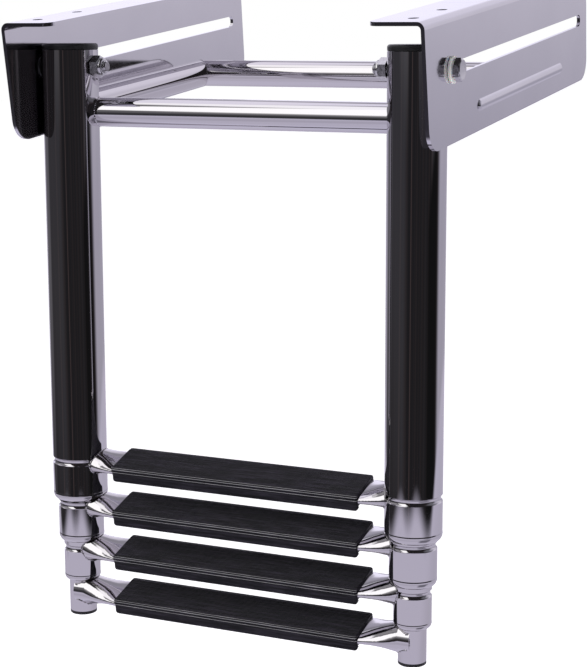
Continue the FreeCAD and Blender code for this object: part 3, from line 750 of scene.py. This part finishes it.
def tread_plastic(name, clean, dusty, gloss, rough):
    """Black moulded plastic: pebble, drawn-out mould lines, a little dust and long scuffs."""
    shade = Shade(name)
    shade.set(Metallic=0.0, IOR=1.5, Specular_IOR_Level=gloss)
    pebble = shade.noise(shade.place, 2600.0, 2.0, 0.5)
    drawn = shade.noise(shade.stretched((55.0, 900.0, 900.0), -10.0), 1.0, 3.0, 0.6)
    dust = shade.noise(shade.place, 60.0, 5.0, 0.65)
    scuffs = shade.noise(shade.stretched((45.0, 620.0, 620.0), -10.0), 1.0, 4.0, 0.6)
    dusted = shade.spread(dust, 0.3, 1.0, 0.35, 0.75)
    scuffed = shade.spread(scuffs, 0.0, 1.0, 0.42, 0.7)
    laid = shade.maths("MULTIPLY", dusted, scuffed)
    shade.link(shade.blend(laid, clean, dusty), shade.shader.inputs["Base Color"])
    satin = shade.spread(drawn, rough[0], rough[1])
    cloudy = shade.spread(dust, 0.0, 0.08, 0.4, 0.8)
    shade.link(shade.maths("ADD", satin, cloudy), shade.shader.inputs["Roughness"])
    shade.bump([(pebble, 0.5), (drawn, 1.0)], 0.45, 0.25 * MM)
    return shade.material


def cap_plastic(name):
    """Black polythene of the caps: smoother than the treads, slightly uneven."""
    shade = Shade(name)
    shade.set(Metallic=0.0, IOR=1.5, Specular_IOR_Level=0.5)
    pebble = shade.noise(shade.place, 1500.0, 3.0, 0.5)
    scuff = shade.noise(shade.place, 180.0, 5.0, 0.6)
    black = (0.010, 0.010, 0.011)
    scuffed = (0.020, 0.020, 0.021)
    colour = shade.blend(shade.spread(scuff, 0.0, 1.0), black, scuffed)
    shade.link(colour, shade.shader.inputs["Base Color"])
    shade.link(shade.spread(scuff, 0.30, 0.46), shade.shader.inputs["Roughness"])
    shade.bump([(pebble, 1.0)], 0.2, 0.1 * MM)
    return shade.material


def nylon(name, light, dark):
    """Smooth engineering nylon: waxy, with the faint mottle of moulded polyamide."""
    shade = Shade(name)
    shade.set(Metallic=0.0, IOR=1.53, Specular_IOR_Level=0.5)
    shade.set(Subsurface_Weight=0.15, Subsurface_Scale=1.0 * MM)
    mottle = shade.noise(shade.place, 260.0, 4.0, 0.6)
    turned = shade.noise(shade.stretched((3000.0, 200.0, 200.0)), 1.0, 2.0)
    colour = shade.blend(shade.spread(mottle, 0.0, 1.0), light, dark)
    shade.link(colour, shade.shader.inputs["Base Color"])
    shade.link(shade.spread(mottle, 0.32, 0.45), shade.shader.inputs["Roughness"])
    shade.bump([(turned, 1.0), (mottle, 0.5)], 0.1, 0.1 * MM)
    return shade.material


# ---- studio -------------------------------------------------------------------------------

def srgb(red, green, blue):
    """Scene-linear colour of 8-bit display values."""
    return tuple(c / 12.92 if c <= 0.04045 else ((c + 0.055) / 1.055) ** 2.4
                 for c in (v / 255 for v in (red, green, blue)))


class Sky:
    """The world's colour by direction, built up from soft-edged patches."""

    def __init__(self, base):
        self.world = bpy.data.worlds.new("studio")
        self.world.use_nodes = True
        self.tree = self.world.node_tree
        self.tree.nodes.clear()
        place = self.add("ShaderNodeTexCoord").outputs["Generated"]
        split = self.add("ShaderNodeSeparateXYZ")
        self.tree.links.new(place, split.inputs["Vector"])
        across = self.maths("ARCTAN2", split.outputs["X"], split.outputs["Y"])
        self.azimuth = self.maths("MULTIPLY", across, 180 / math.pi)
        upward = self.maths("ARCSINE", split.outputs["Z"], 0.0)
        self.elevation = self.maths("MULTIPLY", upward, 180 / math.pi)
        self.colour = self.constant(base)

    def add(self, kind, **values):
        made = self.tree.nodes.new(kind)
        for key, value in values.items():
            setattr(made, key, value)
        return made

    def constant(self, colour):
        made = self.add("ShaderNodeRGB")
        made.outputs["Color"].default_value = (*colour, 1)
        return made.outputs["Color"]

    def maths(self, operation, a, b):
        made = self.add("ShaderNodeMath", operation=operation)
        for socket, value in zip(made.inputs, (a, b)):
            if isinstance(value, (int, float)):
                socket.default_value = value
            else:
                self.tree.links.new(value, socket)
        return made.outputs["Value"]

    def step(self, value, edge, soft):
        """0 below the edge and 1 above it, with a smooth change."""
        made = self.add("ShaderNodeMapRange", interpolation_type="SMOOTHSTEP")
        made.inputs["From Min"].default_value = edge - soft
        made.inputs["From Max"].default_value = edge + soft
        self.tree.links.new(value, made.inputs["Value"])
        return made.outputs["Result"]

    def window(self, value, low, high, soft):
        rise = self.step(value, low, soft)
        fall = self.step(value, high, soft)
        return self.maths("SUBTRACT", rise, fall)

    def over(self, share, colour, strength=1.0):
        """A colour laid over what is there, as far as share says."""
        if strength < 1.0:
            share = self.maths("MULTIPLY", share, strength)
        mix = self.add("ShaderNodeMix", data_type="RGBA")
        colours = [s for s in mix.inputs if s.type == "RGBA"]
        factor = [s for s in mix.inputs if s.name == "Factor" and s.type == "VALUE"][0]
        self.tree.links.new(share, factor)
        self.tree.links.new(self.colour, colours[0])
        colours[1].default_value = (*colour, 1)
        self.colour = [s for s in mix.outputs if s.type == "RGBA"][0]

    def patch(self, colour, azimuths, elevations, soft_azimuth, soft_elevation, share=1.0):
        """A patch between two azimuths and two elevations, in degrees."""
        across = self.window(self.azimuth, *azimuths, soft_azimuth)
        upward = self.window(self.elevation, *elevations, soft_elevation)
        both = self.maths("MULTIPLY", across, upward)
        self.over(both, colour, share)

    def finish(self, seen):
        """Reflections and light come from the patches; the camera sees one pale colour."""
        patches = self.add("ShaderNodeBackground")
        self.tree.links.new(self.colour, patches.inputs["Color"])
        plain = self.add("ShaderNodeBackground")
        plain.inputs["Color"].default_value = (*seen, 1)
        camera_ray = self.add("ShaderNodeLightPath").outputs["Is Camera Ray"]
        mix = self.add("ShaderNodeMixShader")
        self.tree.links.new(camera_ray, mix.inputs["Fac"])
        self.tree.links.new(patches.outputs["Background"], mix.inputs[1])
        self.tree.links.new(plain.outputs["Background"], mix.inputs[2])
        out = self.add("ShaderNodeOutputWorld")
        self.tree.links.new(mix.outputs["Shader"], out.inputs["Surface"])
        bpy.context.scene.world = self.world


STEEL_REFLECTANCE = 0.73
STREAK_MIRROR = 20.0            # azimuth about which the dark room's streaks are alike
STREAKS_PER_DEGREE = 0.085


def lit(red, green, blue):
    """World colour that polished steel shows as these display values."""
    return tuple(c / STEEL_REFLECTANCE for c in srgb(red, green, blue))


def dark_studio(sky):
    """The unlit room round the horizon: streaked from side to side, browner in places."""
    streaks = sky.add("ShaderNodeTexNoise", noise_dimensions="1D")
    streaks.inputs["Scale"].default_value = 1.0
    streaks.inputs["Detail"].default_value = 2.0
    streaks.inputs["Roughness"].default_value = 0.65
    turned = sky.maths("ABSOLUTE", sky.maths("SUBTRACT", sky.azimuth, STREAK_MIRROR), 0.0)
    sky.tree.links.new(sky.maths("MULTIPLY", turned, STREAKS_PER_DEGREE), streaks.inputs["W"])
    sky.over(sky.step(streaks.outputs["Fac"], 0.55, 0.12), lit(58, 50, 50))
    sky.over(sky.step(streaks.outputs["Color"], 0.42, 0.10), lit(25, 24, 26), 0.75)


TABLE_SIDE = (78.0, -17.0)      # azimuth and elevation of the table's edge at the sides
TABLE_FRONT = (160.0, -10.2)


def studio_sky():
    """The photographer's studio as the polished steel shows it, from the farthest to the nearest."""
    sky = Sky(lit(33, 33, 36))
    dark_studio(sky)
    # left side of the room, a little paler
    sky.patch(lit(58, 57, 61), (-160, -76), (-12, 30), 10, 8, 0.6)
    sky.patch(lit(84, 83, 88), (-92, -62), (-14, 30), 8, 6)
    # grey wall at the back, brighter low down and to the left
    sky.patch(lit(92, 92, 98), (-75, 92), (-4, 45), 12, 3)
    sky.patch(lit(150, 147, 160), (-62, 64), (-30, 28), 9, 8)
    sky.patch(lit(188, 184, 196), (8, 52), (-6, 12), 14, 5)
    sky.patch(lit(200, 196, 210), (-28, 30), (10, 42), 12, 7)
    sky.patch(lit(130, 128, 138), (-48, 4), (36, 60), 8, 8)
    sky.patch(lit(224, 221, 238), (-66, -14), (-2, 16), 8, 4)
    # overhead softboxes, the tall one with a faint glow under it
    sky.patch(lit(128, 126, 130), (-128, -56), (16, 60), 10, 8)
    sky.patch(lit(240, 238, 242), (-146, -80), (57, 77), 8, 3)
    sky.patch(lit(216, 212, 225), (-84, -34), (34, 66), 6, 4)
    sky.patch(lit(86, 85, 88), (-166, -128), (5, 40), 4, 4)
    sky.patch(lit(150, 148, 150), (-167, -150), (14, 40), 3, 4)
    sky.patch(lit(254, 253, 254), (-167, -132), (21, 64), 3, 2.5)
    # dark stand at the right
    sky.patch(lit(17, 17, 18), (74, 112), (-30, -4), 5, 1.0)
    # pale table: its edge is far in front and nearer at both sides, so it lies lower there
    turned = sky.maths("ABSOLUTE", sky.azimuth, 0.0)
    edge = sky.add("ShaderNodeMapRange", interpolation_type="SMOOTHSTEP")
    edge.inputs["From Min"].default_value = TABLE_SIDE[0]
    edge.inputs["From Max"].default_value = TABLE_FRONT[0]
    edge.inputs["To Min"].default_value = TABLE_SIDE[1]
    edge.inputs["To Max"].default_value = TABLE_FRONT[1]
    sky.tree.links.new(turned, edge.inputs["Value"])
    under = sky.maths("SUBTRACT", edge.outputs["Result"], sky.elevation)
    sky.over(sky.step(under, 0.0, 0.7), lit(171, 167, 183))
    sky.patch(lit(158, 154, 168), (-180, 180), (-36, -20), 1, 4, 0.8)
    sky.patch(lit(178, 174, 192), (-130, -50), (-72, -48), 12, 8)
    sky.patch(lit(70, 69, 78), (84, 134), (-60, -27), 10, 7, 0.8)
    sky.finish((1.0, 1.0, 1.0))


def area_light(name, place, target, size, power, colour):
    """A soft light that the steel doesn't mirror; the sky's patches do that."""
    data = bpy.data.lights.new(name, "AREA")
    data.shape = "RECTANGLE"
    data.size = size[0]
    data.size_y = size[1]
    data.energy = power
    data.color = colour
    light = bpy.data.objects.new(name, data)
    light.location = place
    light.rotation_euler = (target - Vector(place)).to_track_quat("-Z", "Y").to_euler()
    light.visible_glossy = False
    light.visible_camera = False
    bpy.context.scene.collection.objects.link(light)


def pale_floor():
    """A pale disc under the fully drawn-out ladder; the polished steel reflects the sky instead."""
    low, high = cad_box
    centre = (low + high) / 2
    reach = joints["stage_2_slide"]["range_m"][1] * 3
    height = low.z - reach - FLOOR_CLEARANCE
    points = []
    for k in range(FLOOR_STEPS):
        turn = 2 * math.pi * k / FLOOR_STEPS
        x = centre.x + FLOOR_R * math.cos(turn)
        points.append((x, centre.y + FLOOR_R * math.sin(turn), height))
    floor = make_piece("floor", points, [tuple(range(FLOOR_STEPS))])
    floor.visible_glossy = False
    shade = Shade("pale_floor")
    paper = shade.noise(shade.place, 3.0, 3.0)
    colour = shade.blend(shade.spread(paper, 0.0, 1.0), (0.90, 0.90, 0.905), (0.87, 0.87, 0.88))
    shade.link(colour, shade.shader.inputs["Base Color"])
    shade.set(Roughness=0.9, Emission_Color=(1.0, 1.0, 1.0, 1.0), Emission_Strength=0.72)
    floor.data.materials.append(shade.material)


def camera():
    """The photo's camera, found by fitting the ladder's edges."""
    data = bpy.data.cameras.new("camera")
    data.lens = CAMERA_LENS
    data.sensor_width = CAMERA_SENSOR
    data.clip_start = CAMERA_NEAR
    data.clip_end = CAMERA_FAR
    eye = bpy.data.objects.new("camera", data)
    bpy.context.scene.collection.objects.link(eye)
    turn = Matrix.Rotation(math.radians(CAMERA_YAW), 4, "Z")
    turn = turn @ Matrix.Rotation(math.radians(90 - CAMERA_PITCH), 4, "X")
    turn = turn @ Matrix.Rotation(math.radians(CAMERA_ROLL), 4, "Z")
    eye.matrix_world = Matrix.Translation(CAMERA_PLACE) @ turn
    bpy.context.scene.camera = eye


# ---- build --------------------------------------------------------------------------------

lean_degrees = math.degrees(LEAN)
along_x = (7.0, 900.0, 900.0)
along_y = (900.0, 7.0, 900.0)
along_z = (900.0, 900.0, 7.0)
steel_up = polished_steel("steel_uprights", along_z, lean_degrees, (0.012, 0.04), 0.02)
steel_across = polished_steel("steel_bars", along_x)
steel_arms = polished_steel("steel_arms", along_y)
sheet = sheet_steel("steel_sheet")
fastener = fastener_steel("steel_fasteners")
weld = weld_steel("steel_welds")
clean_black = (0.0034, 0.0034, 0.0050)
dusty_black = (0.038, 0.032, 0.050)
black_tread = tread_plastic("black_tread", clean_black, dusty_black, 0.2, (0.26, 0.38))
# painted highlight: a pale grey plastic on the ridge crests stands in for the light they catch, with the same dust
# and scuffs as the black
highlight_grey = (0.24, 0.238, 0.25)
dusty_highlight_grey = (0.48, 0.475, 0.50)
painted_highlight_tread = tread_plastic("painted_highlight_tread", highlight_grey, dusty_highlight_grey, 0.5, (0.22, 0.34))
black_cap = cap_plastic("black_caps")
white_nylon = nylon("white_nylon", (0.93, 0.93, 0.91), (0.87, 0.87, 0.84))
blue_nylon = nylon("insert_nylon", (0.10, 0.20, 0.55), (0.07, 0.15, 0.42))

SLOT_MATERIALS = {
    "rail_stainless": sheet,
    "fastener_stainless": fastener,
    "tread_plastic": black_tread,
    "cap_plastic": black_cap,
    "white_nylon": white_nylon,
    "insert_nylon": blue_nylon,
}


def material_for(node, slot):
    if slot != "tube_stainless":
        return SLOT_MATERIALS[slot]
    if "arm" in node:
        return steel_arms
    if "bar" in node:
        return steel_across
    return steel_up


def paint(piece, material):
    """Put a material in every slot of a piece."""
    if piece.material_slots:
        for place in piece.material_slots:
            place.material = material
    else:
        piece.data.materials.append(material)


for subpart in frame["record"]["subparts"]:
    name = subpart["node"]
    paint(frame["nodes"][name], material_for(name, subpart["material_slot"]))

for number in (1, 2, 3, 4):
    tread_piece(number)

for side, sign in SIDES:
    paint(bolt_piece(side, sign), fastener)
    paint(cope_weld(side + "_crossbar_weld", "front_crossbar", 1, side, "main_frame"), weld)
    paint(cope_weld(side + "_arm_weld", side + "_standoff_arm", 1, side, "main_frame"), weld)
    paint(mitre_weld(side + "_mitre_weld", sign), weld)
    for number in (1, 2, 3, 4):
        bar = "step_bar_" + str(number)
        bead = cope_weld(side + "_step_weld_" + str(number), bar, number, side, BODY_OF_STAGE[number - 1])
        paint(bead, weld)

for side, _ in SIDES:
    for number in (1, 2, 3, 4):
        true_round(number, side)

pale_floor()
studio_sky()
target = box_middle("front_crossbar")
area_light("key", (-1.1, -1.2, 1.5), target, (1.4, 1.0), 26.0, (1.0, 0.99, 0.97))
area_light("fill", (1.4, -0.9, 0.8), target, (1.0, 1.0), 8.0, (0.96, 0.96, 1.0))
area_light("top", (0.0, 0.6, 1.8), target, (1.6, 1.0), 14.0, (0.97, 0.97, 1.0))
camera()
bpy.context.scene.view_settings.view_transform = "Standard"
bpy.context.scene.view_settings.look = "None"
